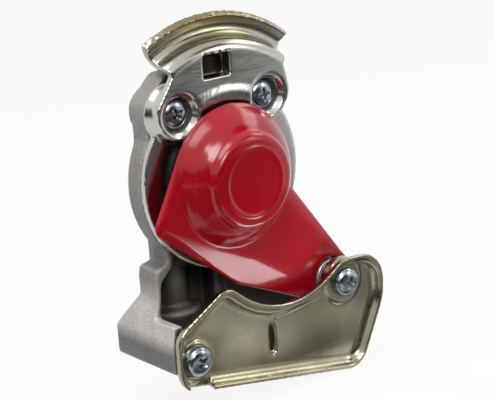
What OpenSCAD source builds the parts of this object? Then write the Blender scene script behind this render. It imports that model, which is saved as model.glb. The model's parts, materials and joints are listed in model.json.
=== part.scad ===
// Air brake coupling head: a die-cast head with a face seal, two pressed steel plates and a
// spring-loaded swing lid. Millimetres, +Z up, the sealing face looks along -Y, and the origin is the
// centre of the air port's mouth. Inside front() the axes are x right, y up and z forwards, as seen
// from the front, with their origin on the seal's axis at the head's rim plane.

/* [Head] */
// Radius of the round head
head_r = 31; // [30:0.5:34]
// Thickness of the head's rim, front to back
rim_depth = 8.5; // [7:0.5:9.5]
// Depth of the dished back behind the rim
dish_depth = 6; // [4:0.5:8]
// Radius of the air chamber behind the seal
chamber_r = 17.5; // [16:0.5:18.5]
// Depth of the air chamber below the rim plane
chamber_depth = 9; // [8:0.5:10]

/* [Seal] */
// Outer radius of the face seal
seal_r = 21; // [20:0.5:22]
// Radius of the hole in the seal
seal_bore_r = 12; // [10:0.5:14]
// Depth of the seal's seat below the rim plane
seal_seat_depth = 5; // [4:0.5:6]

/* [Steel plates] */
// Thickness of the pressed sheet
sheet = 2.5; // [2:0.1:3]
// Height of the guide plate's raised pad above the rim plane
pad_front = 6.4; // [5.5:0.1:7.5]
// Gap between the seal and the opening round it
ring_gap = 1.4; // [0.8:0.1:2.5]
// Outer radius of the guide lip, from the seal's axis
lip_r = 52; // [50:0.5:55]
// Half of the angle that the guide lip spans
lip_half_angle = 33.4; // [29:0.1:36]
// Turn of the guide lip to the right, seen from the front
lip_turn = 4.4; // [0:0.1:6]
// Depth of the groove between the pad and the lip
groove_depth = 7; // [6:0.1:8]
// Width of the latch recess in the pad
latch_w = 10.5; // [8:0.5:12]
// Height of the latch recess in the pad
latch_h = 7.5; // [6:0.5:9]

/* [Claw plate] */
// Height of the claw plate's back above the rim plane
claw_back = 11; // [10.5:0.1:12]
// Height of the claw plate's turned-up rim, over its back
claw_rim = 5.5; // [4.5:0.5:7]
// Distance from the lid's pivot to the right side of the claw plate
claw_reach = 16.3; // [14:0.1:18]
// Drop from the lid's pivot to the lowest corner of the claw plate
claw_drop = 32; // [29:0.5:35]
// Radius of the hollow in the claw plate's upper edge
claw_hollow_r = 31.5; // [28:0.5:34]

/* [Screws] */
// Distance of the upper screws from the middle plane
upper_screw_x = 17.6; // [16:0.1:19]
// Height of the upper screws over the seal's axis
upper_screw_y = 23.3; // [22:0.1:25]
// Radius of the screws' shanks
shank_r = 2.4; // [2:0.1:2.6]
// Radius of the pan heads
screw_head_r = 5; // [4.5:0.1:5.3]
// Height of the pan heads
screw_head_h = 3.4; // [3:0.1:3.8]

/* [Lid] */
// Radius of the lid over the seal
lid_r = 24; // [22.5:0.5:25]
// Wall of the moulded lid
lid_wall = 2; // [1.6:0.1:2.4]
// Height of the hood from its lower edge to its shoulder
hood_h = 2.6; // [2.2:0.1:2.8]
// Radius of the boss's flat face
boss_r = 15.5; // [14:0.5:17]
// Height of the boss over the shoulder of the hood
boss_h = 9.1; // [7:0.1:10]
// Radius of the eye round the pivot
eye_r = 9.2; // [8.8:0.1:10]

/* [Pivot] */
// Distance of the lid's pivot to the right of the seal's axis
pivot_x = 38.5; // [37:0.5:41]
// Drop of the lid's pivot below the seal's axis
pivot_drop = 44; // [42:0.5:46]
// Outer radius of the bush that the lid turns on
bush_r = 4; // [3.6:0.1:4.4]
// Diameter of the spring's wire
spring_wire = 1.2; // [1:0.1:1.4]
// Number of turns of the spring
spring_turns = 3; // [2:1:4]

/* [Foot] */
// Drop of the foot's underside below the seal's axis
foot_drop = 58; // [56:0.5:62]
// Width of the foot
foot_w = 31; // [29:0.5:34]
// Thickness of the foot's slab
foot_slab = 8.7; // [7.5:0.1:10]
// Reach of the foot behind the rim plane
foot_back = 22.5; // [21:0.5:25]

/* [Air port] */
// Distance of the port's axis to the left of the seal's axis
port_x = 16; // [15:0.5:17]
// Distance of the port's axis behind the rim plane
port_back = 10; // [9.5:0.5:11]
// Radius of the tapped port, under its M16 x 1.5 thread
port_r = 7.19; // [6:0.01:9]
// Depth of the tapped port
port_depth = 14; // [10:0.5:18]
// Radius of the air passage from the port to the chamber
passage_r = 3.5; // [3:0.1:4]

/* [Hidden] */

// Clearances
run_gap = 0.6;
seat_gap = 0.3;
hole_gap = 0.3;
thread_gap = 0.1;
bush_gap = 0.08;
seal_gap = 0.1;
cut = 0.5;

// Places seen from the front
pivot = [pivot_x, -pivot_drop];
foot_left = -port_x - foot_w / 2;
foot_right = foot_left + foot_w;
foot_top = -foot_drop + foot_slab;
foot_screw_at = [foot_left + 6.5, foot_top - foot_slab / 2];

// Heights over the rim plane
lid_base = pad_front + run_gap;
shoulder = lid_base + hood_h;
boss_top = shoulder + boss_h;
seal_face = lid_base - seat_gap;
well_floor = 1;
well_bore_r = screw_head_r + 0.4;
well_r = screw_head_r + 3.8;
claw_front = claw_back + sheet;
post_top = 1;
eye_bottom = post_top + seat_gap;
eye_floor = eye_bottom + lid_wall + 0.2;
washer_h = 1;
spring_base = eye_floor + washer_h;
spring_r = bush_r + 0.8 + spring_wire / 2;
cup_r = eye_r - lid_wall + 0.2;

// Moves a model that is drawn as seen from the front into the part's own frame
module front() {
  translate([port_x, -port_back, foot_drop])
    rotate([90, 0, 0])
      children();
}

// A bar along the upward direction of front(), standing on height y
module upright(x, y, z, h, r) {
  translate([x, y, z])
    rotate([-90, 0, 0])
      cylinder(h = h, r = r, $fn = 64);
}

// Rounded outlines: each corner is [x, y, radius], counter-clockwise
function unit(v) = v / norm(v);
function flat(p) = [p.x, p.y];
function turn(a) = a > 180 ? a - 360 : (a < -180 ? a + 360 : a);
function corner(p, q, s, r, steps) =
  let (
    a = unit(p - q),
    b = unit(s - q),
    half = acos(a * b) / 2,
    c = q + unit(a + b) * r / sin(half),
    start = q + a * r / tan(half) - c,
    stop = q + b * r / tan(half) - c,
    from = atan2(start.y, start.x),
    sweep = turn(atan2(stop.y, stop.x) - from)
  )
  [for (i = [0:steps]) c + r * [cos(from + sweep * i / steps), sin(from + sweep * i / steps)]];
function rounded(list, steps = 7) =
  let (n = len(list))
  [
    for (i = [0:n - 1])
      each corner(flat(list[(i + n - 1) % n]), flat(list[i]), flat(list[(i + 1) % n]), list[i].z, steps)
  ];
function left_of(v) = [-v.y, v.x];
function shrunk(list, d) =
  let (n = len(list))
  [
    for (i = [0:n - 1])
      let (
        q = flat(list[i]),
        u = unit(q - flat(list[(i + n - 1) % n])),
        v = unit(flat(list[(i + 1) % n]) - q),
        moved = q + d * (left_of(u) + left_of(v)) / (1 + u * v),
        r = cross(u, v) > 0 ? max(list[i].z - d, 0.2) : list[i].z + d
      )
      [moved.x, moved.y, r]
  ];

// A solid lofted through rings of equally many points, closed at both ends
module loft(rings) {
  m = len(rings);
  n = len(rings[0]);
  points = [for (ring = rings) each ring];
  sides = [
    for (k = [0:m - 2])
      for (i = [0:n - 1])
        let (j = (i + 1) % n)
        each [
          [k * n + i, (k + 1) * n + i, (k + 1) * n + j],
          [k * n + i, (k + 1) * n + j, k * n + j]
        ]
  ];
  floor_face = [for (i = [0:n - 1]) i];
  roof_face = [for (i = [n - 1:-1:0]) (m - 1) * n + i];
  polyhedron(points = points, faces = concat([floor_face, roof_face], sides), convexity = 8);
}

// The casting

dish_r = head_r * 0.72;
crown_r = head_r * 0.55;
module head_disc() {
  rotate_extrude($fn = 128)
    polygon([
      [0, 0],
      [head_r - 0.6, 0],
      [head_r, -0.6],
      [head_r, -rim_depth + 1.5],
      [head_r - 1.5, -rim_depth],
      [dish_r, -rim_depth - dish_depth * 0.75],
      [crown_r, -rim_depth - dish_depth],
      [0, -rim_depth - dish_depth]
    ]);
}

// Flange behind the raised pad, with a lobe behind each upper screw
top_half_w = upper_screw_x + 0.8;
top_h = upper_screw_y + 12.5;
lobe_r = 8;
lobe_h = 3;
module top_flange() {
  translate([0, 0, -rim_depth])
    linear_extrude(rim_depth)
      polygon(rounded([
        [-upper_screw_x - 9, upper_screw_y - 12, 3],
        [upper_screw_x + 9, upper_screw_y - 12, 3],
        [upper_screw_x + 9, upper_screw_y + 4, 5],
        [top_half_w, top_h, 4],
        [-top_half_w, top_h, 4],
        [-upper_screw_x - 9, upper_screw_y + 4, 5]
      ]));
  for (side = [-1, 1])
    translate([side * upper_screw_x, upper_screw_y, -rim_depth - lobe_h])
      cylinder(h = lobe_h + cut, r = lobe_r, $fn = 48);
}

// Neck below the head, a shouldered block under it, its flare to the foot and the low side walls in
// front of the flare
neck_left = foot_left + 8.5;
neck_back = 9;
block_left = foot_left + 3.5;
block_back = 10.5;
neck_top = -head_r * 0.52;
block_top = -25;
flare_top = -36;
shoulder_h = 4;
wall_top = foot_top + 7;
module neck() {
  translate([neck_left, flare_top, -neck_back])
    cube([foot_right - 1 - neck_left, neck_top - flare_top, neck_back]);
  hull() {
    translate([neck_left, block_top - 1, -neck_back])
      cube([foot_right - 1 - neck_left, 1, neck_back]);
    translate([block_left + 0.6, block_top - shoulder_h / 2, -block_back])
      cube([foot_right - block_left - 0.6, 0.5, block_back]);
    translate([block_left, flare_top, -block_back])
      cube([foot_right - block_left, -flare_top + block_top - shoulder_h, block_back]);
  }
  hull() {
    translate([block_left, flare_top - 1, -block_back])
      cube([foot_right - block_left, 1, block_back]);
    for (x = [foot_left + 3, foot_right - 3])
      upright(x, foot_top, -foot_back + 3, 1, 3);
    translate([foot_left, foot_top, -1])
      cube([foot_w, 1, 1]);
  }
  hull() {
    translate([foot_left, foot_top - 1, -1])
      cube([foot_w, 1, claw_back + 1]);
    translate([foot_left + 1, wall_top - 1, -1])
      cube([foot_w - 2, 1, claw_back + 1]);
  }
}

// The foot's slab, with rounded corners behind
module foot() {
  hull() {
    for (x = [foot_left + 3, foot_right - 3])
      upright(x, -foot_drop, -foot_back + 3, foot_slab, 3);
    translate([foot_left, -foot_drop, claw_back - 1])
      cube([foot_w, foot_slab, 1]);
  }
}

// Wall round the port and the air passage: a domed socket, a tube up to the head and, behind the
// neck, a wider swelling
passage_wall_t = 2.5;
swell_r = 8.2;
swell_h = 15;
socket_r = port_r + passage_wall_t;
socket_top = -foot_drop + port_depth;
passage_top = -5;
module passage_wall() {
  upright(-port_x, foot_top - 1, -port_back, socket_top - foot_top + 1, socket_r);
  translate([-port_x, socket_top, -port_back])
    rotate([-90, 0, 0])
      rotate_extrude($fn = 64)
        polygon([[0, -1], for (i = [0:6]) [socket_r * cos(i * 15), passage_wall_t * sin(i * 15)]]);
  upright(-port_x, socket_top, -port_back, passage_top - socket_top, passage_r + passage_wall_t);
  translate([-port_x, passage_top, -port_back])
    sphere(r = passage_r + passage_wall_t, $fn = 64);
  intersection() {
    union() {
      upright(-port_x, foot_top - 1, -port_back, swell_h + 1, swell_r);
      translate([-port_x, foot_top + swell_h, -port_back])
        sphere(r = swell_r, $fn = 64);
    }
    translate([-port_x - swell_r, foot_top - 1, -port_back - swell_r])
      cube([2 * swell_r, swell_h + swell_r + 2, swell_r]);
  }
}

// Post under the lid's pivot, on a web that reaches it from the head and the neck
web_depth = 6;
post_back = -8;
post_r = eye_r - 0.7;
module pivot_post() {
  translate([0, 0, -web_depth - 1])
    linear_extrude(web_depth)
      polygon(rounded([
        [foot_right - 4, foot_top - 4, 1],
        [foot_right + 2, foot_top - 4, 3],
        [pivot.x - 2, pivot.y - post_r - 1, 3],
        [pivot.x + post_r - 0.5, pivot.y - 2, 4],
        [pivot.x + post_r - 1, pivot.y + 4, 4],
        [head_r * 0.7, -head_r * 0.4, 2],
        [foot_right - 4, -head_r * 0.4, 1]
      ]));
  translate([pivot.x, pivot.y, post_back])
    cylinder(h = post_top - post_back, r = post_r, $fn = 64);
}

// Recess in the front of the neck, round the passage wall
pocket_depth = 8;
side_wall = 3.4;
module pocket() {
  translate([0, 0, -pocket_depth])
    linear_extrude(pocket_depth + claw_back + cut)
      polygon(rounded([
        [foot_left + side_wall, foot_top, 1],
        [foot_right - side_wall, foot_top, 1],
        [foot_right - side_wall, neck_top + 2, 1],
        [neck_left + 2, neck_top + 2, 1],
        [neck_left + 2, block_top - 1.5, 3],
        [block_left + 2, block_top - 6, 3]
      ]));
}

module screw_hole(at, top, depth) {
  translate([at.x, at.y, top - depth])
    cylinder(h = depth + cut, r = shank_r + thread_gap, $fn = 32);
}

// Depths of the screws' holes in the casting, which leave room below the shanks
hole_room = 1;
upper_grip = rim_depth + 0.5;
foot_grip = claw_back + 1;
pivot_grip = post_top - post_back - 1;

module body() {
  color("silver")
    front()
      difference() {
        union() {
          difference() {
            neck();
            pocket();
          }
          head_disc();
          top_flange();
          foot();
          pivot_post();
          passage_wall();
        }
        translate([0, 0, -seal_seat_depth])
          cylinder(h = seal_seat_depth + cut, r = seal_r + seal_gap, $fn = 96);
        translate([0, 0, -chamber_depth])
          cylinder(h = chamber_depth, r = chamber_r, $fn = 96);
        upright(-port_x, -foot_drop - cut, -port_back, port_depth + cut, port_r);
        upright(-port_x, -foot_drop, -port_back, foot_drop + passage_top, passage_r);
        for (side = [-1, 1])
          screw_hole([side * upper_screw_x, upper_screw_y], 0, upper_grip);
        screw_hole(foot_screw_at, claw_back, foot_grip);
        screw_hole(pivot, post_top, pivot_grip);
      }
}

// The guide plate

ring_r = seal_r + ring_gap;

// Middle line of the sheet across the pad, groove and lip, as [radius, height]
pad_mid = pad_front - sheet / 2;
pad_in_r = ring_r + 2.2;
crest_r = lip_r - 11.2;
crest_bend = 2.3;
groove_bend = 4.2;
fall = 74;
rise = 34;
fall_length = (groove_depth - (crest_bend + groove_bend) * (1 - cos(fall))) / sin(fall);
crest_end = [crest_r + crest_bend * sin(fall), pad_mid - crest_bend * (1 - cos(fall))];
groove_start = crest_end + fall_length * [cos(fall), -sin(fall)];
groove_centre = groove_start + groove_bend * [sin(fall), cos(fall)];
groove_end = groove_centre + groove_bend * [sin(rise), -cos(rise)];
function arc(c, r, from, to, steps) =
  [for (i = [0:steps]) c + r * [cos(from + (to - from) * i / steps), sin(from + (to - from) * i / steps)]];
lip_mid = concat(
  [[pad_in_r, pad_mid]],
  arc([crest_r, pad_mid - crest_bend], crest_bend, 90, 90 - fall, 5),
  arc(groove_centre, groove_bend, 270 - fall, 270 + rise, 7),
  [[lip_r, groove_end.y + (lip_r - groove_end.x) * tan(rise)]]
);
function along(list, i) = unit(list[min(i + 1, len(list) - 1)] - list[max(i - 1, 0)]);
function beside(list, d) = [for (i = [0:len(list) - 1]) list[i] + d * left_of(along(list, i))];
function reversed(list) = [for (i = [len(list) - 1:-1:0]) list[i]];

module lip() {
  rotate([0, 0, 90 - lip_turn - lip_half_angle])
    rotate_extrude(angle = 2 * lip_half_angle, $fn = 128)
      polygon(concat(beside(lip_mid, -sheet / 2), reversed(beside(lip_mid, sheet / 2))));
}

// Raised pad between the wells
function on_crest(a) = crest_r * [sin(a + lip_turn), cos(a + lip_turn)];
pad_left = on_crest(-lip_half_angle);
pad_right = on_crest(lip_half_angle);
pad_half_w = upper_screw_x + well_r;
module pad_outline() {
  polygon(rounded([
    [-pad_half_w, upper_screw_y - 3, 3],
    [-upper_screw_x + 4, upper_screw_y - 6, 3],
    [upper_screw_x - 4, upper_screw_y - 6, 3],
    [pad_half_w, upper_screw_y - 3, 3],
    [pad_half_w, upper_screw_y + 3, 3],
    [pad_right.x, pad_right.y, 1],
    [pad_left.x, pad_left.y, 1],
    [-pad_half_w, upper_screw_y + 3, 3]
  ]));
}

module pad() {
  translate([0, 0, pad_front - sheet])
    difference() {
      linear_extrude(sheet)
        pad_outline();
      translate([0, 0, -cut])
        cylinder(h = sheet + 2 * cut, r = pad_in_r, $fn = 96);
    }
}

// Roll of the sheet from the ring up to the pad, between the wells
step_angle = 72;
module pad_step() {
  rotate([0, 0, 90 - step_angle / 2])
    rotate_extrude(angle = step_angle, $fn = 128)
      polygon([
        [ring_r - cut, 0],
        [pad_in_r + 0.6, 0],
        [pad_in_r + 2, pad_front - sheet],
        [pad_in_r + 2, pad_front],
        [pad_in_r + 1, pad_front],
        [pad_in_r - 0.5, pad_front - 0.6],
        [pad_in_r - 1.3, pad_front - 1.8],
        [pad_in_r - 1.6, sheet],
        [ring_r - cut, sheet]
      ]);
}

// Domed seat round an upper screw, flared at its foot, with a bore for the screw's head
well_flare = 1.4;
module well(side) {
  translate([side * upper_screw_x, upper_screw_y, 0])
    rotate_extrude($fn = 64)
      polygon([
        [0, 0],
        [well_r + well_flare, 0],
        [well_r + well_flare * 0.9, 1],
        [well_r + well_flare * 0.4, sheet],
        [well_r, pad_front - 1.5],
        [well_r - 0.4, pad_front - 0.5],
        [well_r - 1.2, pad_front],
        [well_r - 2, pad_front - 0.3],
        [well_bore_r + 0.3, pad_front - 1.7],
        [well_bore_r, pad_front - 2],
        [well_bore_r, well_floor],
        [0, well_floor]
      ]);
}

// Recess that the other head's latch drops into, with its floor pushed back behind the pad
latch_x = -2.4;
latch_top = crest_r - 0.5;
latch_wall = 1.2;
latch_floor = 2.2;
module latch_tray() {
  translate([latch_x - latch_w / 2 - latch_wall, latch_top - latch_h - latch_wall, latch_floor - latch_wall])
    cube([latch_w + 2 * latch_wall, latch_h + 2 * latch_wall, pad_mid - latch_floor + latch_wall]);
}

module guide_plate() {
  color("lightgray")
    front()
      difference() {
        union() {
          difference() {
            union() {
              cylinder(h = sheet, r = head_r, $fn = 128);
              pad();
              pad_step();
              lip();
              latch_tray();
            }
            translate([0, 0, -cut])
              cylinder(h = pad_front + 2 * cut, r = ring_r, $fn = 96);
            for (side = [-1, 1])
              translate([side * upper_screw_x, upper_screw_y, -cut])
                cylinder(h = pad_front + 2 * cut, r = well_r - 1, $fn = 64);
          }
          difference() {
            for (side = [-1, 1])
              well(side);
            translate([0, 0, -cut])
              cylinder(h = pad_front + 2 * cut, r = ring_r - hole_gap, $fn = 96);
          }
        }
        for (side = [-1, 1])
          translate([side * upper_screw_x, upper_screw_y, -cut])
            cylinder(h = pad_front + cut, r = shank_r + hole_gap, $fn = 32);
        translate([latch_x - latch_w / 2, latch_top - latch_h, latch_floor])
          cube([latch_w, latch_h, pad_front]);
      }
}

// The claw plate

claw_left = foot_left - 1.5;
claw_right = pivot.x + claw_reach;
claw_corners = [
  [claw_left, pivot.y - claw_drop + 13.8, 7],
  [claw_right - 11.8, pivot.y - claw_drop, 8],
  [claw_right, pivot.y - 8.5, 20],
  [claw_right, pivot.y + 7.2, 10],
  [pivot.x - 1.2, pivot.y + 8.6, 10],
  [11.3, pivot.y - 8, claw_hollow_r],
  [-12, pivot.y + 12.2, 6],
  [claw_left, foot_top + 5.6, 7]
];
seat_h = 0.8;
claw_seat = claw_front + seat_h;
slot_r = 1.3;
slot_top = [7, pivot.y - 7.8];
slot_length = 8;
slot_depth = 1.5;
gap_w = screw_head_r * 1.8;
module claw_plate() {
  color("darkkhaki")
    front()
      difference() {
        union() {
          difference() {
            translate([0, 0, claw_back])
              linear_extrude(claw_rim)
                polygon(rounded(claw_corners));
            translate([0, 0, claw_front])
              linear_extrude(claw_rim)
                polygon(rounded(shrunk(claw_corners, sheet)));
          }
          translate([pivot.x, pivot.y, claw_back])
            cylinder(h = sheet + seat_h, r = screw_head_r + 3, $fn = 64);
          translate([foot_screw_at.x, foot_screw_at.y, claw_back])
            cylinder(h = sheet + seat_h, r = screw_head_r + 1, $fn = 64);
        }
        for (at = [foot_screw_at, pivot])
          translate([at.x, at.y, claw_back - cut])
            cylinder(h = sheet + seat_h + 2 * cut, r = shank_r + hole_gap, $fn = 32);
        translate([foot_screw_at.x - gap_w / 2, claw_corners[0].y - gap_w, claw_front + 0.2])
          cube([gap_w, gap_w + sheet, claw_rim]);
        translate([slot_top.x - slot_r, slot_top.y - slot_length, claw_front - slot_depth])
          cube([2 * slot_r, slot_length, slot_depth + cut]);
        for (y = [0, -slot_length])
          translate([slot_top.x, slot_top.y + y, claw_front - slot_depth])
            cylinder(h = slot_depth + cut, r = slot_r, $fn = 32);
      }
}

// The seal

module seal_ring() {
  color("dimgray")
    front()
      rotate_extrude($fn = 96)
        polygon([
          [seal_bore_r, -seal_seat_depth],
          [seal_r, -seal_seat_depth],
          [seal_r, 0.5],
          [seal_r - 0.8, 1.5],
          [seal_r - 0.8, seal_face - 1],
          [seal_r - 1.8, seal_face],
          [seal_bore_r + 2.5, seal_face],
          [seal_bore_r, seal_face - 2.5]
        ]);
}

// The lid

wing = [-28, -10.5];
wing_top = [-27.2, -9.8];
chin = [0.5, -32.5];
chin_top = [3, -25.5];
tip_r = 4;
top_r = 2.2;
rim_h = 0.9;
edge_h = 1.2;
arm_r = 14;
module peg(at, r, h) {
  translate([at.x, at.y, lid_base])
    cylinder(h = h, r = r, $fn = 32);
}

// Hood from the round rim to the wing and the chin, and the arm from it to the eye, both sloped
// down to a thin edge
module hood() {
  hull() {
    translate([0, 0, lid_base])
      cylinder(h = rim_h, r = lid_r, $fn = 96);
    translate([0, 0, lid_base])
      cylinder(h = hood_h, r = lid_r - 3, $fn = 96);
    peg(wing, tip_r, rim_h);
    peg(chin, tip_r, rim_h);
    peg(wing_top, top_r, hood_h);
    peg(chin_top, top_r, hood_h);
  }
  hull() {
    peg([0, 0], arm_r, rim_h);
    peg([0, 0], arm_r - 3, hood_h);
    peg(chin, tip_r, rim_h);
    peg(chin_top, top_r, hood_h);
    peg(pivot, eye_r, rim_h);
    peg(pivot, eye_r - 2, edge_h);
  }
}

// Half section of the domed boss, moved inwards by a wall
fillet = 2.4;
bulge = 0.8;
function boss_section(wall) =
  let (
    foot_r = lid_r - 0.6 - wall,
    face_r = boss_r - wall * 0.6,
    top = boss_top - wall,
    low = lid_base + rim_h,
    rise_h = top - fillet - low
  )
  [
    [0, lid_base],
    [foot_r, lid_base],
    for (t = [0:0.2:0.9])
      [foot_r + (face_r + 0.6 - foot_r) * t + bulge * sin(180 * t), low + rise_h * t],
    for (i = [0:4])
      [face_r - fillet + (fillet + 0.4) * cos(i * 22.5), top - fillet + fillet * sin(i * 22.5)],
    [0, top]
  ];
ring_mark_r = 11.1;
module lid() {
  color("crimson")
    front()
      difference() {
        union() {
          difference() {
            union() {
              hood();
              rotate_extrude($fn = 96)
                polygon(boss_section(0));
            }
            translate([0, 0, -0.01])
              rotate_extrude($fn = 96)
                polygon(boss_section(lid_wall));
          }
          rotate_extrude($fn = 96)
            translate([ring_mark_r, boss_top])
              circle(r = 0.4, $fn = 16);
          translate([pivot.x, pivot.y, eye_bottom])
            cylinder(h = lid_base + edge_h - eye_bottom, r = eye_r, $fn = 96);
        }
        translate([pivot.x, pivot.y, eye_floor])
          cylinder(h = boss_top, r = cup_r, $fn = 96);
        translate([pivot.x, pivot.y, eye_bottom - cut])
          cylinder(h = boss_top, r = bush_r + bush_gap, $fn = 64);
      }
}

// The pivot

module pivot_bush() {
  color("gray")
    front()
      translate([pivot.x, pivot.y, post_top])
        difference() {
          cylinder(h = claw_back - post_top, r = bush_r, $fn = 64);
          translate([0, 0, -cut])
            cylinder(h = claw_back, r = shank_r + thread_gap, $fn = 32);
        }
}

module thrust_washer() {
  color("gainsboro")
    front()
      translate([pivot.x, pivot.y, eye_floor])
        difference() {
          cylinder(h = washer_h, r = cup_r - 0.5, $fn = 64);
          translate([0, 0, -cut])
            cylinder(h = washer_h + 2 * cut, r = bush_r + bush_gap, $fn = 64);
        }
}

// Coil with closed ends, swept along a helix
steps_per_turn = 16;
wire_sides = 8;
spring_h = claw_back - spring_base - spring_wire;
module lid_spring() {
  n = spring_turns * steps_per_turn;
  color("slategray")
    front()
      translate([pivot.x, pivot.y, spring_base + spring_wire / 2])
        loft([
          for (i = [0:n])
            [
              for (k = [wire_sides - 1:-1:0])
                let (
                  a = 360 * i / steps_per_turn,
                  b = 360 * k / wire_sides,
                  r = spring_r + spring_wire / 2 * cos(b)
                )
                [r * cos(a), r * sin(a), spring_h * i / n + spring_wire / 2 * sin(b)]
            ]
        ]);
}

// Cross-recess pan head screw, drawn with its seat at the origin and its head forwards
module pan_screw(length) {
  difference() {
    union() {
      rotate_extrude($fn = 64)
        polygon([
          [0, 0],
          [screw_head_r, 0],
          [screw_head_r, screw_head_h * 0.45],
          [screw_head_r * 0.94, screw_head_h * 0.7],
          [screw_head_r * 0.78, screw_head_h * 0.9],
          [screw_head_r * 0.55, screw_head_h],
          [0, screw_head_h]
        ]);
      translate([0, 0, -length])
        cylinder(h = length, r = shank_r, $fn = 32);
    }
    for (a = [0, 90])
      rotate([0, 0, a])
        translate([-2.3, -0.5, screw_head_h - 1.9])
          cube([4.6, 1, 2]);
  }
}

module upper_screw(side) {
  color("lightsteelblue")
    front()
      translate([side * upper_screw_x, upper_screw_y, well_floor])
        pan_screw(well_floor + upper_grip - hole_room);
}

module upper_screw_left() {
  upper_screw(-1);
}

module upper_screw_right() {
  upper_screw(1);
}

module foot_screw() {
  color("lightsteelblue")
    front()
      translate([foot_screw_at.x, foot_screw_at.y, claw_seat])
        pan_screw(claw_seat - claw_back + foot_grip - hole_room);
}

module pivot_screw() {
  color("lightsteelblue")
    front()
      translate([pivot.x, pivot.y, claw_seat])
        pan_screw(claw_seat - post_top + pivot_grip - hole_room);
}

body();
guide_plate();
claw_plate();
seal_ring();
lid();
pivot_bush();
lid_spring();
thrust_washer();
upper_screw_left();
upper_screw_right();
foot_screw();
pivot_screw();
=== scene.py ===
# %% [markdown]
# # An air brake coupling head with a red swing lid
# The real thing joins the air lines of a lorry and its trailer. A die-cast head carries two pressed
# and zinc-plated steel plates, and a glossy red lid on a sprung pivot keeps dirt off the seal.
# The solids come packed from CAD. This lesson dresses them: each solid gets the soft edges, bends
# and finish of the real piece, and none of them leaves its place.

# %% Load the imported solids
import json
import math

import bpy
from mathutils import Matrix, Vector


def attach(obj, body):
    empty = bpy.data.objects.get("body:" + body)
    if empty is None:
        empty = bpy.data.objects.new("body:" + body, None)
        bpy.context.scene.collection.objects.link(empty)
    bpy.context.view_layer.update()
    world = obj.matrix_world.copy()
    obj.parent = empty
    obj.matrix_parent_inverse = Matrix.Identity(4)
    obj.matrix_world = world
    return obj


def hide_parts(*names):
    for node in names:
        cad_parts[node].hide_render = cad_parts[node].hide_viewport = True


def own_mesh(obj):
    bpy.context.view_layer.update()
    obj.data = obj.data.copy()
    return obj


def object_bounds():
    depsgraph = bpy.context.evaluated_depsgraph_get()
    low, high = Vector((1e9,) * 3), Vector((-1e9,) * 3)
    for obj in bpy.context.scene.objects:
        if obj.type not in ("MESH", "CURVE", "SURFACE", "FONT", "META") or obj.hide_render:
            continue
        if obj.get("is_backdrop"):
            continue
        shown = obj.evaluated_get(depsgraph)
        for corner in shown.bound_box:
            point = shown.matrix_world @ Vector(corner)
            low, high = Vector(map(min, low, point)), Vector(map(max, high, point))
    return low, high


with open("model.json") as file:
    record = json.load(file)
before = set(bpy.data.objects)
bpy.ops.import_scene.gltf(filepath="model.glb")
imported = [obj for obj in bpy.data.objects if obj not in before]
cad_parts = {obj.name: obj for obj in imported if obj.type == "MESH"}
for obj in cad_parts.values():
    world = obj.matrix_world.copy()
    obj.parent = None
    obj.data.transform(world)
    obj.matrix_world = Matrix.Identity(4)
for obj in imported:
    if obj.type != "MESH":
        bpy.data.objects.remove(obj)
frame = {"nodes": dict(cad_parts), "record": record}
cad_low, cad_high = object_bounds()
print("CAD box in mm:", [round(1000 * v, 1) for v in cad_high - cad_low])

# %% [markdown]
# The head is drawn as it is seen from the front: x to the right, y up and z towards the viewer, in
# millimetres, with the origin on the seal's axis at the casting's rim plane. `spot` turns such a
# place into Blender's metres, and `TOWARDS` is the way from the casting to the viewer.

# %% Places seen from the front
MM = 0.001
PORT_X, PORT_BACK, FOOT_DROP = 16, 10, 58
TOWARDS = Vector((0, -1, 0))


def spot(x, y, z):
    return Vector((x + PORT_X, -z - PORT_BACK, y + FOOT_DROP)) * MM


PIVOT = (38.5, -44)
UPPER_SCREWS = [(-17.6, 23.3), (17.6, 23.3)]
FOOT_SCREW = (-25, -53.65)
LATCH = (-2.4, 36, 1)
SLOT_MIDDLE = (7, -55.8, 11.4)
print("pivot at", spot(*PIVOT, 0))

# %% [markdown]
# An operator works on whatever is selected, so every step starts from a clear selection. These
# helpers select one object, apply its modifiers in order, and pick vertices by their place.

# %% Helpers for selecting and finishing


def only(piece):
    bpy.ops.object.select_all(action="DESELECT")
    piece.select_set(True)
    bpy.context.view_layer.objects.active = piece


def apply_modifiers(piece):
    only(piece)
    for name in [m.name for m in piece.modifiers]:
        bpy.ops.object.modifier_apply(modifier=name)


def pick_vertices(piece, wanted):
    """Goes into edit mode with the vertices selected whose place passes the test."""
    only(piece)
    bpy.ops.object.mode_set(mode="EDIT")
    bpy.ops.mesh.select_mode(type="VERT")
    bpy.ops.mesh.select_all(action="DESELECT")
    bpy.ops.object.mode_set(mode="OBJECT")
    for v in piece.data.vertices:
        v.select = wanted(v.co)
    bpy.ops.object.mode_set(mode="EDIT")


def leave_edit():
    bpy.ops.object.mode_set(mode="OBJECT")


def fix_place():
    """Writes the place, turn and size of the selected piece into its mesh."""
    bpy.ops.object.transform_apply(location=True, rotation=True, scale=True)


def in_front_view(co):
    """A point of a mesh as (x, y, z) seen from the front, in millimetres."""
    return co.x / MM - PORT_X, co.z / MM - FOOT_DROP, -co.y / MM - PORT_BACK


# %% [markdown]
# Cast and moulded pieces have no sharp edge anywhere. A bevel struggles with the long triangles of
# a CAD mesh, so a merged copy is skinned anew in small even quads (Remesh) and relaxed (Smooth).
# Corners round off by about a millimetre, as they do when metal or plastic fills a die.

# %% Soft copies of CAD solids


def skinned(piece, voxel, rounds):
    """Skins a piece anew in quads of a size in millimetres, and relaxes them."""
    skin = piece.modifiers.new("skin", "REMESH")
    skin.mode = "VOXEL"
    skin.voxel_size = voxel * MM
    relax = piece.modifiers.new("relax", "SMOOTH")
    relax.factor = 0.5
    relax.iterations = rounds
    apply_modifiers(piece)


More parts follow.
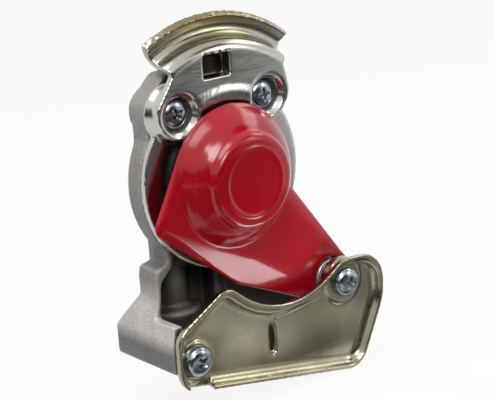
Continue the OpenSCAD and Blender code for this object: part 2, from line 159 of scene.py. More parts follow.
def soft_copy(node, name, voxel, rounds):
    piece = bpy.data.objects.new(name, frame["nodes"][node].data.copy())
    bpy.context.scene.collection.objects.link(piece)
    only(piece)
    bpy.ops.object.mode_set(mode="EDIT")
    bpy.ops.mesh.select_all(action="SELECT")
    bpy.ops.mesh.remove_doubles(threshold=1e-6)
    leave_edit()
    skinned(piece, voxel, rounds)
    bpy.ops.object.shade_smooth()
    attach(piece, "lid" if node == "lid" else "root")
    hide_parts(node)
    print(name, "has", len(piece.data.polygons), "quads")
    return piece


casting = soft_copy("body", "casting", 0.6, 6)
guide = soft_copy("guide_plate", "guide_sheet", 0.4, 7)
lid = soft_copy("lid", "red_lid", 0.42, 9)

# %% [markdown]
# A low bead stiffens the sheet between the two screw cups. The guide lip is sheared, not milled, so
# its outer edge is ragged. That edge, and the torn top edge of the latch recess, are displaced by a
# cloudy pattern of a few tenths of a millimetre.

# %% Bead between the screw cups


def between_cups(r_from, r_to):
    def wanted(co):
        x, y, z = in_front_view(co)
        return abs(x) < 13 and y > 0 and z > 5.9 and r_from < math.hypot(x, y) < r_to
    return wanted


for r_from, r_to, lift in ((25.3, 29.5, 0.18), (26.0, 28.8, 0.18), (26.7, 28.1, 0.14)):
    pick_vertices(guide, between_cups(r_from, r_to))
    bpy.ops.transform.translate(value=TOWARDS * lift * MM)
    leave_edit()
pick_vertices(guide, between_cups(24.8, 30.2))
bpy.ops.mesh.vertices_smooth(factor=0.5, repeat=3)
leave_edit()
print("bead raised between the cups")

# %% Ragged edges of the guide sheet


LIP_EDGE_R = 51.1


def on_lip_edge(co):
    x, y, _ = in_front_view(co)
    return math.hypot(x, y) > LIP_EDGE_R and y > 30


def on_torn_edge(co):
    x, y, z = in_front_view(co)
    return abs(x - LATCH[0]) < 5.6 and 39.2 < y < 40.8 and z > 5.2


chips = bpy.data.textures.new("chips", "CLOUDS")
chips.noise_scale = 1.3 * MM
chips.noise_depth = 3
for name, wanted, reach in (("lip_edge", on_lip_edge, 0.5), ("torn_edge", on_torn_edge, 1.0)):
    edge = guide.vertex_groups.new(name=name)
    edge.add([v.index for v in guide.data.vertices if wanted(v.co)], 1, "REPLACE")
    ragged = guide.modifiers.new(name, "DISPLACE")
    ragged.texture = chips
    ragged.texture_coords = "LOCAL"
    ragged.mid_level = 0.55
    ragged.strength = reach * MM
    ragged.vertex_group = name
apply_modifiers(guide)
print("sheared edges roughened")

# %% [markdown]
# The claw plate is a dish bent from sheet. Its outline is a row of corners with a bend radius each.
# A flat face of that outline is extruded into a wall, the fold is bevelled, and Solidify gives the
# sheet its thickness. The press draws the wall thinner towards its rim, which a vertex group tells
# Solidify.

# %% Outline of the claw plate
CORNERS = [
    (-33, -62.2, 7), (43, -76, 8), (54.8, -52.5, 20), (54.8, -36.8, 10),
    (37.3, -35.4, 10), (11.3, -52, 31.5), (-12, -31.8, 6), (-33, -43.7, 7),
]
SHEET, CLAW_BACK, CLAW_RIM, FOLD = 2.5, 11, 5.5, 5


def rounded(corners, steps=9):
    points = []
    for i, (x, y, r) in enumerate(corners):
        q = Vector((x, y))
        a = (Vector(corners[i - 1][:2]) - q).normalized()
        b = (Vector(corners[(i + 1) % len(corners)][:2]) - q).normalized()
        half = a.angle(b) / 2
        centre = q + (a + b).normalized() * r / math.sin(half)
        start, stop = q + a * r / math.tan(half) - centre, q + b * r / math.tan(half) - centre
        sweep = start.angle_signed(stop)
        for k in range(steps + 1):
            points.append(centre + Matrix.Rotation(-sweep * k / steps, 2) @ start)
    return points


outline = rounded(CORNERS)
print("outline of", len(outline), "points")

# %% Fold the claw plate
bpy.ops.object.select_all(action="DESELECT")
bpy.ops.mesh.primitive_circle_add(vertices=len(outline), radius=1, fill_type="NGON")
claw = bpy.context.object
claw.name = "claw_dish"
for v, p in zip(claw.data.vertices, outline):
    v.co = spot(p.x, p.y, CLAW_BACK)
bpy.ops.object.mode_set(mode="EDIT")
bpy.ops.mesh.select_all(action="SELECT")
bpy.ops.mesh.normals_make_consistent(inside=False)
bpy.ops.mesh.select_mode(type="EDGE")
bpy.ops.mesh.region_to_loop()
bpy.ops.mesh.extrude_edges_move(TRANSFORM_OT_translate={"value": TOWARDS * CLAW_RIM * MM})
leave_edit()
pick_vertices(claw, lambda co: abs(in_front_view(co)[2] - CLAW_BACK) < 0.01)
bpy.ops.mesh.bevel(offset=FOLD * MM, segments=8, affect="EDGES")
bpy.ops.mesh.select_all(action="SELECT")
bpy.ops.mesh.normals_make_consistent(inside=False)
leave_edit()
drawn = claw.vertex_groups.new(name="drawn")
for v in claw.data.vertices:
    rise = (in_front_view(v.co)[2] - CLAW_BACK) / CLAW_RIM
    drawn.add([v.index], 1 - 0.5 * rise, "REPLACE")
wall = claw.modifiers.new("sheet", "SOLIDIFY")
wall.thickness = SHEET * MM
wall.vertex_group = drawn.name
wall.offset = -1
wall.use_even_offset = True
apply_modifiers(claw)
low = min(in_front_view(v.co)[2] for v in claw.data.vertices)
high = max(in_front_view(v.co)[2] for v in claw.data.vertices)
print("claw dish from", round(low, 2), "to", round(high, 2), "mm forwards")

# %% [markdown]
# The press also raised a round seat under each lower screw and a crease from the slot to the pivot.
# They are joined on as plain turned shapes, the blind slot and the open corner of the rim are cut,
# and the whole dish is then skinned anew, which melts the joints into pressed metal. It is turned by
# 40 degrees meanwhile, because an edge nearly in line with the skin's grid would come out in steps.

# %% Seats, crease, slot and open corner


def turned(name, rings, sides=48):
    """A closed turned shape from (radius, height) rings, extruded and resized ring by ring."""
    bpy.ops.object.select_all(action="DESELECT")
    bpy.ops.mesh.primitive_circle_add(vertices=sides, radius=rings[0][0] * MM, fill_type="NGON")
    piece = bpy.context.object
    piece.name = name
    bpy.ops.object.mode_set(mode="EDIT")
    bpy.ops.mesh.select_all(action="SELECT")
    for (r0, z0), (r1, z1) in zip(rings, rings[1:]):
        bpy.ops.mesh.extrude_region_move(TRANSFORM_OT_translate={"value": (0, 0, (z1 - z0) * MM)})
        bpy.ops.transform.resize(value=(r1 / r0, r1 / r0, 1), center_override=(0, 0, (z1 - rings[0][1]) * MM))
    bpy.ops.mesh.select_all(action="SELECT")
    bpy.ops.mesh.normals_make_consistent(inside=False)
    leave_edit()
    piece.location.z = rings[0][1] * MM
    fix_place()
    return piece


def face_viewer(piece, x, y, z, turn=0):
    """Turns a piece made along +Z towards the viewer, and puts its origin at a place seen from the front."""
    only(piece)
    piece.matrix_world = (
        Matrix.Translation(spot(x, y, z))
        @ Matrix.Rotation(math.pi / 2, 4, "X")
        @ Matrix.Rotation(turn, 4, "Z")
    )
    fix_place()
    return piece


def combine(piece, tool, operation):
    step = piece.modifiers.new(operation.lower(), "BOOLEAN")
    step.operation = operation
    step.object = tool
    step.solver = "EXACT"
    apply_modifiers(piece)
    bpy.data.objects.remove(tool, do_unlink=True)


SEAT_H, SEAT_EDGE_H = 0.8, 0.4
SLOT_TOP, SLOT_R, SLOT_LENGTH, SLOT_DEPTH = (7, -51.8), 1.3, 8, 1.5
seats = []
for name, place, r, top_r in (("pivot_seat", PIVOT, 8.2, 7.6), ("foot_seat", FOOT_SCREW, 6.2, 5.6)):
    rings = [(r, 0), (r, SHEET + SEAT_EDGE_H), (top_r, SHEET + SEAT_H)]
    seats.append(face_viewer(turned(name, rings), *place, CLAW_BACK))
crease = turned("crease", [(1.2, 0), (1.62, 4), (1.62, 16), (1.3, 20)], sides=24)
crease.matrix_world = (
    Matrix.Translation(spot(7.5, -48.4, CLAW_BACK + SHEET - 0.82))
    @ Matrix.Rotation(math.radians(90), 4, "Y")
    @ Matrix.Rotation(math.radians(6), 4, "Y").inverted()
)
only(crease)
fix_place()
for tool in (*seats, crease):
    combine(claw, tool, "UNION")

slot = turned("slot_tool", [(SLOT_R, 0), (SLOT_R, SHEET + 3)], sides=32)
pick_vertices(slot, lambda co: co.y < -1e-5)
bpy.ops.transform.translate(value=(0, -SLOT_LENGTH * MM, 0))
leave_edit()
combine(claw, face_viewer(slot, *SLOT_TOP, CLAW_BACK + SHEET - SLOT_DEPTH), "DIFFERENCE")
bpy.ops.object.select_all(action="DESELECT")
bpy.ops.mesh.primitive_cube_add(size=1, location=spot(FOOT_SCREW[0], -66.5, CLAW_BACK + SHEET + 3.2))
corner_tool = bpy.context.object
corner_tool.scale = Vector((9, 6, 11.5)) * MM
fix_place()
combine(claw, corner_tool, "DIFFERENCE")

off_grid = Matrix.Rotation(math.radians(40), 4, "Y")
claw.matrix_world = off_grid
only(claw)
fix_place()
skinned(claw, 0.42, 6)
claw.matrix_world = off_grid.inverted()
only(claw)
fix_place()
bpy.ops.object.shade_smooth()
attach(claw, "root")
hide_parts("claw_plate")
print("claw dish has", len(claw.data.polygons), "quads")

# %% [markdown]
# Four pan-head screws with a cross recess hold the plates. One is turned ring by ring like a lathe
# part, the cross is cut with two tapered bars, and the edges get a tiny bevel to catch the light.

# %% Pan-head screws
HEAD = [(5, 0), (5, 1.35), (4.85, 1.9), (4.45, 2.5), (3.75, 3.0), (2.7, 3.3), (1.5, 3.4)]


def pan_screw(name, length):
    piece = turned(name, [(2.4, -length), (2.4, 0), *HEAD])
    for turn in (0, math.pi / 2):
        bpy.ops.object.select_all(action="DESELECT")
        bpy.ops.mesh.primitive_cube_add(size=1)
        bar = bpy.context.object
        bar.scale = Vector((5.4, 1.15, 3)) * MM
        fix_place()
        pick_vertices(bar, lambda co: co.z < 0)
        bpy.ops.transform.resize(value=(0.5, 0.75, 1))
        leave_edit()
        only(bar)
        bar.location.z = 3.1 * MM
        bar.rotation_euler.z = turn
        fix_place()
        combine(piece, bar, "DIFFERENCE")
    edge = piece.modifiers.new("edge", "BEVEL")
    edge.width = 0.12 * MM
    edge.segments = 2
    edge.limit_method = "ANGLE"
    edge.angle_limit = math.radians(45)
    apply_modifiers(piece)
    bpy.ops.object.shade_smooth_by_angle(angle=math.radians(35))
    return piece


WELL_FLOOR, CLAW_SEAT = 1, CLAW_BACK + SHEET + SEAT_H
screws = []
for node, (x, y), seat, length, turn in (
    ("upper_screw_left", UPPER_SCREWS[0], WELL_FLOOR, 9, 0.5),
    ("upper_screw_right", UPPER_SCREWS[1], WELL_FLOOR, 9, 0.05),
    ("foot_screw", FOOT_SCREW, CLAW_SEAT, 14.3, 0.7),
    ("pivot_screw", PIVOT, CLAW_SEAT, 20.3, 1.2),
):
    screw = face_viewer(pan_screw(node + "_steel", length), x, y, seat, turn)
    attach(screw, "root")
    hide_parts(node)
    screws.append(screw)
print(len(screws), "screws")

# %% [markdown]
# The lid's spring sits between the eye of the lid and the claw plate. A small wire circle is swept
# with the Screw modifier.

# %% Lid spring
WIRE, COIL_R, SPRING_FROM, SPRING_TO, TURNS = 1.2, 5.4, 4.5, 11, 3
bpy.ops.object.select_all(action="DESELECT")
bpy.ops.mesh.primitive_circle_add(vertices=16, radius=WIRE / 2 * MM, rotation=(math.pi / 2, 0, 0))
spring = bpy.context.object
spring.name = "lid_coil"
fix_place()
pick_vertices(spring, lambda co: True)
bpy.ops.transform.translate(value=(COIL_R * MM, 0, WIRE / 2 * MM))
leave_edit()
sweep = spring.modifiers.new("sweep", "SCREW")
sweep.axis = "Z"
sweep.iterations = TURNS
sweep.screw_offset = (SPRING_TO - SPRING_FROM - WIRE) / TURNS * MM
sweep.steps = sweep.render_steps = 40
apply_modifiers(spring)
pick_vertices(spring, lambda co: True)
bpy.ops.mesh.remove_doubles(threshold=1e-6)
bpy.ops.mesh.fill_holes(sides=0)
bpy.ops.mesh.normals_make_consistent(inside=False)
leave_edit()
face_viewer(spring, *PIVOT, SPRING_FROM, turn=2.2)
bpy.ops.object.shade_smooth_by_angle(angle=math.radians(40))
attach(spring, "root")
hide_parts("lid_spring")
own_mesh(spring)
print("coil of", len(spring.data.polygons), "faces")

# %% [markdown]
# ## Finishes
# Every finish is made of nodes on Object coordinates, so it sticks to its piece. Sizes are in
# metres there: a noise scale of 1000 has grains of about a millimetre.

# %% Helpers for finishes


def new_finish(name):
    finish = bpy.data.materials.new(name)
    finish.use_nodes = True
    return finish, finish.node_tree, finish.node_tree.nodes["Principled BSDF"]


def object_place(tree):
    return tree.nodes.new("ShaderNodeTexCoord").outputs["Object"]


def noise(tree, scale, detail=4, stretch=(1, 1, 1)):
    mapping = tree.nodes.new("ShaderNodeMapping")
    mapping.inputs["Scale"].default_value = stretch
    grain = tree.nodes.new("ShaderNodeTexNoise")
    grain.inputs["Scale"].default_value = scale
    grain.inputs["Detail"].default_value = detail
    tree.links.new(object_place(tree), mapping.inputs["Vector"])
    tree.links.new(mapping.outputs["Vector"], grain.inputs["Vector"])
    return grain.outputs["Fac"]


def ramp(tree, factor, *stops):
    """Colours or greys along a factor, as (place, colour) stops."""
    node = tree.nodes.new("ShaderNodeValToRGB")
    while len(node.color_ramp.elements) < len(stops):
        node.color_ramp.elements.new(0.5)
    for element, (place, colour) in zip(node.color_ramp.elements, stops):
        element.position = place
        element.color = (*colour, 1) if isinstance(colour, tuple) else (colour, colour, colour, 1)
    tree.links.new(factor, node.inputs["Fac"])
    return node.outputs["Color"]


def blend(tree, factor, a, b, mode="MIX"):
    node = tree.nodes.new("ShaderNodeMix")
    node.data_type = "RGBA"
    node.blend_type = mode
    for value, place in ((factor, 0), (a, 6), (b, 7)):
        if isinstance(value, (int, float)):
            node.inputs[place].default_value = value
        elif isinstance(value, tuple):
            node.inputs[place].default_value = (*value, 1)
        else:
            tree.links.new(value, node.inputs[place])
    return node.outputs[2]


def bump(tree, height, strength, reach, under=None):
    node = tree.nodes.new("ShaderNodeBump")
    node.inputs["Strength"].default_value = strength
    node.inputs["Distance"].default_value = reach * MM
    tree.links.new(height, node.inputs["Height"])
    if under:
        tree.links.new(under, node.inputs["Normal"])
    return node.outputs["Normal"]


def height_share(tree, top):
    """How high a point lies, from 0 at the port's mouth to 1 at a height in metres."""
    height = tree.nodes.new("ShaderNodeSeparateXYZ")
    tree.links.new(object_place(tree), height.inputs["Vector"])
    share = tree.nodes.new("ShaderNodeMapRange")
    share.inputs["From Max"].default_value = top
    tree.links.new(height.outputs["Z"], share.inputs["Value"])
    return share.outputs["Result"]


def dress(finish, slot, *pieces):
    for piece in pieces:
        piece.data.materials.clear()
        piece.data.materials.append(finish)


def painted_hollow_shade(tree, colour, reach, deep, open_air, shade_colour):
    """Paints shade: darkens a colour in hollows that are narrower than a reach in millimetres."""
    hollow = tree.nodes.new("ShaderNodeAmbientOcclusion")
    hollow.inputs["Distance"].default_value = reach * MM
    shade_ramp = ramp(tree, hollow.outputs["AO"], (deep, shade_colour), (open_air, (1.0, 1.0, 1.0)))
    return blend(tree, 1.0, colour, shade_ramp, "MULTIPLY")


def painted_recess_shade(tree, colour, centre, reach):
    """Paints shade: blackens a colour near a place seen from the front, within a reach in x, y and z."""
    place = tree.nodes.new("ShaderNodeMapping")
    place.vector_type = "TEXTURE"
    place.inputs["Location"].default_value = spot(*centre)
    place.inputs["Scale"].default_value = Vector((reach[0], reach[2], reach[1])) * MM
    tree.links.new(object_place(tree), place.inputs["Vector"])
    near = tree.nodes.new("ShaderNodeTexGradient")
    near.gradient_type = "SPHERICAL"
    tree.links.new(place.outputs["Vector"], near.inputs["Vector"])
    recess_shade = ramp(tree, near.outputs["Fac"], (0.02, (1.0, 1.0, 1.0)), (0.22, (0.1, 0.085, 0.075)))
    return blend(tree, 1.0, colour, recess_shade, "MULTIPLY")


slots = [m["slot"] for m in frame["record"]["materials"]]
print("material slots:", slots)

# %% [markdown]
# The casting is aluminium straight from the die, blasted matt. It scatters light more like stone
# than like a mirror, so it is only partly metallic, with fine grains, darker pores and pale edges.
# Deep hollows get painted shade: ambient occlusion darkens their colour. Light and shade are also
# painted by height: the flare above the foot is painted pale as if lit, and the slab under it darker as if
# shaded.

# %% Blasted cast alloy
cast_alloy, tree, shader = new_finish("blasted_cast_alloy")
clouds = ramp(tree, noise(tree, 70, 3), (0.3, (0.29, 0.275, 0.265)), (0.7, (0.39, 0.375, 0.36)))
pores = ramp(tree, noise(tree, 2300, 3), (0.3, 0.3), (0.52, 1.0))
edges = tree.nodes.new("ShaderNodeNewGeometry").outputs["Pointiness"]
# sharp edges are made paler
pale_edge_share = ramp(tree, edges, (0.51, 0.0), (0.57, 0.45))
colour = blend(tree, 0.7, clouds, pores, "MULTIPLY")
# painted light and shade by height: pale on the flare above the foot, darker on the slab under it
painted_light_by_height = ramp(
    tree, height_share(tree, 0.1),
    (0.06, 0.14), (0.11, 0.95), (0.19, 0.9), (0.28, 0.25), (0.6, 0.3), (0.95, 0.4),
)
colour = blend(tree, 1.0, colour, blend(tree, painted_light_by_height, (0.35, 0.35, 0.35), (1.75, 1.75, 1.75)), "MULTIPLY")
# painted shade in the casting's hollows and under the lid and claw
colour = painted_hollow_shade(tree, colour, 20, 0.35, 0.85, (0.07, 0.058, 0.048))
tree.links.new(blend(tree, pale_edge_share, colour, (0.62, 0.60, 0.58)), shader.inputs["Base Color"])
tree.links.new(ramp(tree, noise(tree, 400), (0.3, 0.5), (0.7, 0.66)), shader.inputs["Roughness"])
shader.inputs["Metallic"].default_value = 0.25
grain = bump(tree, noise(tree, 1700, 3), 0.6, 0.14)
tree.links.new(bump(tree, noise(tree, 260, 2), 0.25, 0.2, under=grain), shader.inputs["Normal"])
dress(cast_alloy, "cast_aluminium", casting)
print("casting finished")

# %% [markdown]
# The plates are steel with a yellowish zinc coat. Zinc is a bright metal with a cloudy tint, faint
# rolling lines and small scratches, so colour and roughness both wander over the sheet. The coat is
# clear round the screws, more olive on the claw and brassy on the lip at the top, so the tints are
# blended by height. Sheared edges are bare, plating is dull in narrow hollows, and painted shade
# blackens the latch recess and the slot.

# %% Zinc-plated sheet
zinc, tree, shader = new_finish("yellowed_zinc_sheet")
clear = ramp(tree, noise(tree, 55, 4), (0.3, (0.46, 0.45, 0.42)), (0.7, (0.56, 0.555, 0.54)))
olive = ramp(tree, noise(tree, 45, 4), (0.3, (0.27, 0.25, 0.155)), (0.7, (0.40, 0.385, 0.295)))
height = height_share(tree, 0.12)
pad_zone = ramp(tree, height, (0.22, 0.0), (0.4, 1.0), (0.78, 1.0), (0.86, 0.0))
tint = blend(tree, pad_zone, olive, clear)
brassy = ramp(tree, height, (0.87, (1.0, 1.0, 1.0)), (0.9, (0.74, 0.66, 0.54)))
tint = blend(tree, 1.0, tint, brassy, "MULTIPLY")
flecks = ramp(tree, noise(tree, 1100, 3), (0.27, 0.6), (0.34, 1.0))
colour = blend(tree, 0.8, tint, flecks, "MULTIPLY")
sheared = ramp(tree, tree.nodes.new("ShaderNodeNewGeometry").outputs["Pointiness"], (0.54, 0.0), (0.62, 0.85))
colour = blend(tree, sheared, colour, (0.47, 0.47, 0.455))
# painted shade, so the latch recess and the blind slot look deep and dark
colour = painted_recess_shade(tree, colour, LATCH, (7, 6.4, 5.2))
colour = painted_recess_shade(tree, colour, SLOT_MIDDLE, (2, 6.5, 1.7))
tree.links.new(colour, shader.inputs["Base Color"])
shader.inputs["Metallic"].default_value = 1
rolled = noise(tree, 160, 5, stretch=(1, 1, 14))
hollow = tree.nodes.new("ShaderNodeAmbientOcclusion")
hollow.inputs["Distance"].default_value = 4 * MM
dull = ramp(tree, hollow.outputs["AO"], (0.25, 1.0), (0.65, 0.0))
rough = blend(tree, dull, ramp(tree, rolled, (0.3, 0.15), (0.7, 0.27)), (0.6, 0.6, 0.6))
tree.links.new(rough, shader.inputs["Roughness"])
lines = bump(tree, rolled, 0.03, 0.04)
tree.links.new(bump(tree, noise(tree, 150, 2), 0.06, 0.12, under=lines), shader.inputs["Normal"])
dress(zinc, "zinc_steel", guide, claw)
print("plates finished")

# %% [markdown]
# The screws, bush and washer have a clear bluish zinc, shinier than the sheet. The spring is a drawn
# wire with a satin skin, painted paler than steel as painted light, so it shows in the shade by the lid.

# %% Bright zinc for fasteners
bright, tree, shader = new_finish("clear_zinc_steel")
tint = ramp(tree, noise(tree, 350, 3), (0.3, (0.25, 0.285, 0.32)), (0.7, (0.42, 0.45, 0.48)))
tree.links.new(tint, shader.inputs["Base Color"])
shader.inputs["Metallic"].default_value = 1
tree.links.new(ramp(tree, noise(tree, 700, 3), (0.3, 0.13), (0.7, 0.26)), shader.inputs["Roughness"])
tree.links.new(bump(tree, noise(tree, 1200, 3), 0.15, 0.05), shader.inputs["Normal"])
nodes = frame["nodes"]
dress(bright, "blue_zinc", *screws)
coil_steel, tree, shader = new_finish("bright_spring_wire")
# painted light: a paler colour than steel, to make up for the shade between the lid and the claw
painted_pale_wire = ramp(tree, noise(tree, 500, 3), (0.3, (0.70, 0.72, 0.75)), (0.7, (0.84, 0.86, 0.88)))
tree.links.new(painted_pale_wire, shader.inputs["Base Color"])
shader.inputs["Metallic"].default_value = 0.6
tree.links.new(ramp(tree, noise(tree, 900, 3), (0.3, 0.28), (0.7, 0.4)), shader.inputs["Roughness"])
dress(coil_steel, "spring_steel", spring)
dress(bright, "bright_steel", nodes["pivot_bush"], nodes["thrust_washer"])
print("fasteners finished")

# %% [markdown]
# The lid is injection-moulded in deep red plastic: a saturated colour under a glossy skin, with a
# hint of orange peel and a little dullness where hands have rubbed it. Light soaking through its
# thin rims is painted in: they get a brighter red.

# %% Glossy red plastic
red, tree, shader = new_finish("glossy_red_plastic")
shade = ramp(tree, noise(tree, 40, 3), (0.3, (0.32, 0.0008, 0.009)), (0.7, (0.40, 0.0014, 0.014)))
# painted light: thin rims are coloured a brighter red, as if light soaked through them
painted_rim_light = ramp(tree, tree.nodes.new("ShaderNodeNewGeometry").outputs["Pointiness"], (0.56, 0.0), (0.68, 0.7))
tree.links.new(blend(tree, painted_rim_light, shade, (0.62, 0.02, 0.02)), shader.inputs["Base Color"])
tree.links.new(ramp(tree, noise(tree, 90, 5), (0.35, 0.13), (0.7, 0.24)), shader.inputs["Roughness"])
shader.inputs["Specular IOR Level"].default_value = 0.4
shader.inputs["Coat Weight"].default_value = 0.15
shader.inputs["Coat Roughness"].default_value = 0.08
tree.links.new(bump(tree, noise(tree, 420, 2), 0.06, 0.1), shader.inputs["Normal"])
dress(red, "red_plastic", lid)
print("lid finished")

# %% [markdown]
# The seal is black rubber, matt with a fine dusty bloom.

# %% Seal rubber
rubber, tree, shader = new_finish("seal_rubber")
bloom = ramp(tree, noise(tree, 300, 5), (0.35, (0.012, 0.012, 0.013)), (0.75, (0.045, 0.043, 0.042)))
tree.links.new(bloom, shader.inputs["Base Color"])
tree.links.new(ramp(tree, noise(tree, 500), (0.3, 0.5), (0.7, 0.75)), shader.inputs["Roughness"])
tree.links.new(bump(tree, noise(tree, 1500, 3), 0.2, 0.05), shader.inputs["Normal"])
dress(rubber, "seal_rubber", nodes["seal_ring"])
print("seal finished")

# %% [markdown]
# ## Stage
# The head stands on a pale floor in a plain white studio. A big soft lamp hangs over it, a second one
# stands in front, a weak one to the left and two narrow ones to the right, and a small patch of the
# table glows up at the lid's chin. Cards on the floor and round the camera, which the camera itself
# doesn't see, give bare metal and glossy plastic something to mirror. All are dark but one, which
# glows in patches.

# %% Floor, cards and lamps
FLOOR_GAP, CARD_LOW = 0.0003, 0.002
floor_height = cad_low.z - FLOOR_GAP
bpy.ops.object.select_all(action="DESELECT")
bpy.ops.mesh.primitive_plane_add(size=6, location=(0, 0, floor_height))
floor = bpy.context.object
floor.name = "studio_floor"
floor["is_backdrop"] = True


def white_to_camera(tree, plain, white):
    """Mixes to plain white where the camera, a mirror or glass looks."""
    path = tree.nodes.new("ShaderNodeLightPath")
    seen = path.outputs["Is Camera Ray"]
    for ray in ("Is Glossy Ray", "Is Transmission Ray"):
        either = tree.nodes.new("ShaderNodeMath")
        either.operation = "MAXIMUM"
        tree.links.new(seen, either.inputs[0])
        tree.links.new(path.outputs[ray], either.inputs[1])
        seen = either.outputs[0]
    mix = tree.nodes.new("ShaderNodeMixShader")
    tree.links.new(seen, mix.inputs["Fac"])
    tree.links.new(plain, mix.inputs[1])
    tree.links.new(white, mix.inputs[2])
    return mix.outputs["Shader"]


floor_finish, tree, shader = new_finish("pale_floor")
shader.inputs["Base Color"].default_value = (0.82, 0.82, 0.82, 1)
shader.inputs["Roughness"].default_value = 0.9
glow = tree.nodes.new("ShaderNodeEmission")
glow.inputs["Strength"].default_value = 1
mostly_glow = tree.nodes.new("ShaderNodeMixShader")
mostly_glow.inputs["Fac"].default_value = 0.9
tree.links.new(shader.outputs["BSDF"], mostly_glow.inputs[1])
tree.links.new(glow.outputs["Emission"], mostly_glow.inputs[2])
tree.links.new(
    white_to_camera(tree, shader.outputs["BSDF"], mostly_glow.outputs["Shader"]),
    tree.nodes["Material Output"].inputs["Surface"],
)
floor.data.materials.append(floor_finish)

world = bpy.context.scene.world or bpy.data.worlds.new("studio")
bpy.context.scene.world = world
world.use_nodes = True
tree = world.node_tree
soft = tree.nodes["Background"]
soft.inputs["Color"].default_value = (1, 1, 1, 1)
soft.inputs["Strength"].default_value = 0.2
white = tree.nodes.new("ShaderNodeBackground")
white.inputs["Color"].default_value = (1, 1, 1, 1)
white.inputs["Strength"].default_value = 1
tree.links.new(
    white_to_camera(tree, soft.outputs["Background"], white.outputs["Background"]),
    tree.nodes["World Output"].inputs["Surface"],
)


def facing(obj, place, target):
    obj.location = place
    obj.rotation_euler = (Vector(target) - Vector(place)).to_track_quat("-Z", "Y").to_euler()


MIDDLE = spot(0, -10, 5)
for name, place, size, power in (
    ("key", (-0.3, -0.75, 0.65), 0.35, 4.5),
    ("fill", (-0.85, -0.2, 0.3), 0.4, 0.4),
    ("top", (-0.3, -0.02, 0.8), 0.5, 4.5),
    ("strip", (0.62, -0.75, 0.38), (0.15, 0.4), 0.9),
    ("side", (0.7, -0.15, 0.63), (0.6, 0.25), 1.4),
):
    lamp = bpy.data.objects.new(name, bpy.data.lights.new(name, "AREA"))
    if isinstance(size, tuple):
        lamp.data.shape = "RECTANGLE"
        lamp.data.size, lamp.data.size_y = size
    else:
        lamp.data.size = size
    lamp.data.energy = power
    lamp.visible_glossy = name != "fill"
    bpy.context.scene.collection.objects.link(lamp)
    facing(lamp, place, MIDDLE)

table = bpy.data.objects.new("table_glow", bpy.data.lights.new("table_glow", "AREA"))
table.data.shape = "RECTANGLE"
table.data.size, table.data.size_y = 0.05, 0.03
table.data.energy = 0.036
table.visible_camera = False
bpy.context.scene.collection.objects.link(table)
TABLE_SPOT = (0.052, -0.07)
facing(table, (*TABLE_SPOT, floor_height + 0.005), (*TABLE_SPOT, 1))
lit_by_table = bpy.data.collections.new("lit_by_table")
lit_by_table.objects.link(lid)
table.light_linking.receiver_collection = lit_by_table

card_finish, tree, shader = new_finish("dark_card")
shader.inputs["Base Color"].default_value = (0.03, 0.03, 0.03, 1)
shader.inputs["Roughness"].default_value = 0.9
mottled_finish, tree, shader = new_finish("mottled_card")
patches = ramp(tree, noise(tree, 26, 2, stretch=(1, 1.6, 1)), (0.42, 0.05), (0.52, 0.32), (0.66, 1.0))
along = tree.nodes.new("ShaderNodeVectorMath")
along.operation = "DOT_PRODUCT"
along.inputs[1].default_value = (1, 1, 0)
tree.links.new(object_place(tree), along.inputs[0])
sideways = tree.nodes.new("ShaderNodeMapRange")
sideways.inputs["From Min"].default_value, sideways.inputs["From Max"].default_value = -0.022, 0.004
tree.links.new(along.outputs["Value"], sideways.inputs["Value"])
darker_right = ramp(tree, sideways.outputs["Result"], (0.0, 1.0), (1.0, 0.36))
shader.inputs["Base Color"].default_value = (0, 0, 0, 1)
shader.inputs["Emission Strength"].default_value = 1.4
tree.links.new(blend(tree, 1.0, patches, darker_right, "MULTIPLY"), shader.inputs["Emission Color"])
CARDS = {
    "card_floor": [
        (-0.5, -0.05, CARD_LOW), (-0.03, -0.05, CARD_LOW), (-0.03, -0.15, CARD_LOW),
        (0.17, -0.15, CARD_LOW), (0.3, -0.34, CARD_LOW), (0.75, -0.75, CARD_LOW), (-0.5, -0.75, CARD_LOW),
    ],
    "card_mottled": [
        (-0.03, -0.15, CARD_LOW), (-0.03, -0.035, CARD_LOW), (0.2, -0.035, CARD_LOW), (0.2, -0.15, CARD_LOW),
    ],
    "card_front": [(-1.0, -0.85, CARD_LOW), (0.5, -0.85, CARD_LOW), (0.5, -0.85, 0.42), (-1.0, -0.85, 0.42)],
    "card_flag": [(0.3, -0.55, 0.5), (0.62, -0.35, 0.5), (0.62, -0.3, 0.85), (0.3, -0.5, 0.85)],
    "card_left": [(-0.95, -0.85, CARD_LOW), (-0.95, 0.6, CARD_LOW), (-0.95, 0.6, 0.5), (-0.95, -0.85, 0.3)],
}
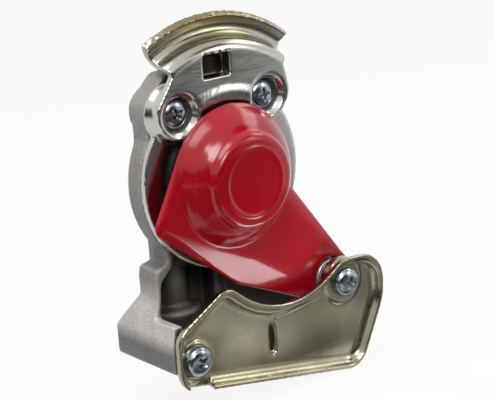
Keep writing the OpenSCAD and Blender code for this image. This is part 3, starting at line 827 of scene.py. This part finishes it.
for name, corners in CARDS.items():
    bpy.ops.object.select_all(action="DESELECT")
    bpy.ops.mesh.primitive_circle_add(vertices=len(corners), radius=1, fill_type="NGON")
    card = bpy.context.object
    card.name = name
    for v, (x, y, z) in zip(card.data.vertices, corners):
        v.co = (x, y, floor_height + z)
    card.data.materials.append(mottled_finish if name == "card_mottled" else card_finish)
    card.visible_camera = False
    card.visible_shadow = False
    card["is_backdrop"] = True
print("stage set at floor height", round(floor_height / MM, 2), "mm")

# %% [markdown]
# ## Camera
# The photograph was taken from the left and a little above, half a metre away, with the camera
# tipped a few degrees. The lens shift puts the seal's axis where the photograph has it.

# %% Camera at the photograph's angle
AZIMUTH, ELEVATION, ROLL = math.radians(36.9), math.radians(14.6), math.radians(-4.4)
WIDTH, HEIGHT, FOCAL, DISTANCE, SEEN, SENSOR = 495, 400, 1543, 0.5, (218.9, 173.0), 36
back = Vector((
    -math.sin(AZIMUTH) * math.cos(ELEVATION), -math.cos(AZIMUTH) * math.cos(ELEVATION), math.sin(ELEVATION)
))
right = Vector((math.cos(AZIMUTH), -math.sin(AZIMUTH), 0))
up = back.cross(right)
across = right * math.cos(ROLL) + up * math.sin(ROLL)
upright = up * math.cos(ROLL) - right * math.sin(ROLL)
camera = bpy.data.objects.new("camera", bpy.data.cameras.new("camera"))
bpy.context.scene.collection.objects.link(camera)
camera.matrix_world = Matrix.Translation(spot(0, 0, 0) + back * DISTANCE) @ Matrix(
    (across, upright, back)
).transposed().to_4x4()
camera.data.sensor_width = SENSOR
camera.data.lens = FOCAL / WIDTH * SENSOR
camera.data.shift_x = (WIDTH / 2 - SEEN[0]) / WIDTH
camera.data.shift_y = (SEEN[1] - HEIGHT / 2) / WIDTH
camera.data.clip_start, camera.data.clip_end = 0.01, 20
bpy.context.scene.camera = camera
bpy.context.scene.view_settings.view_transform = "Standard"
print("camera at", [round(v, 3) for v in camera.location])

# %% [markdown]
# The dressed head has to keep the size of the solids, so both boxes are written down side by side.

# %% Measure and finish
low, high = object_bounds()
print("visual box in mm:", [round(1000 * v, 1) for v in high - low])
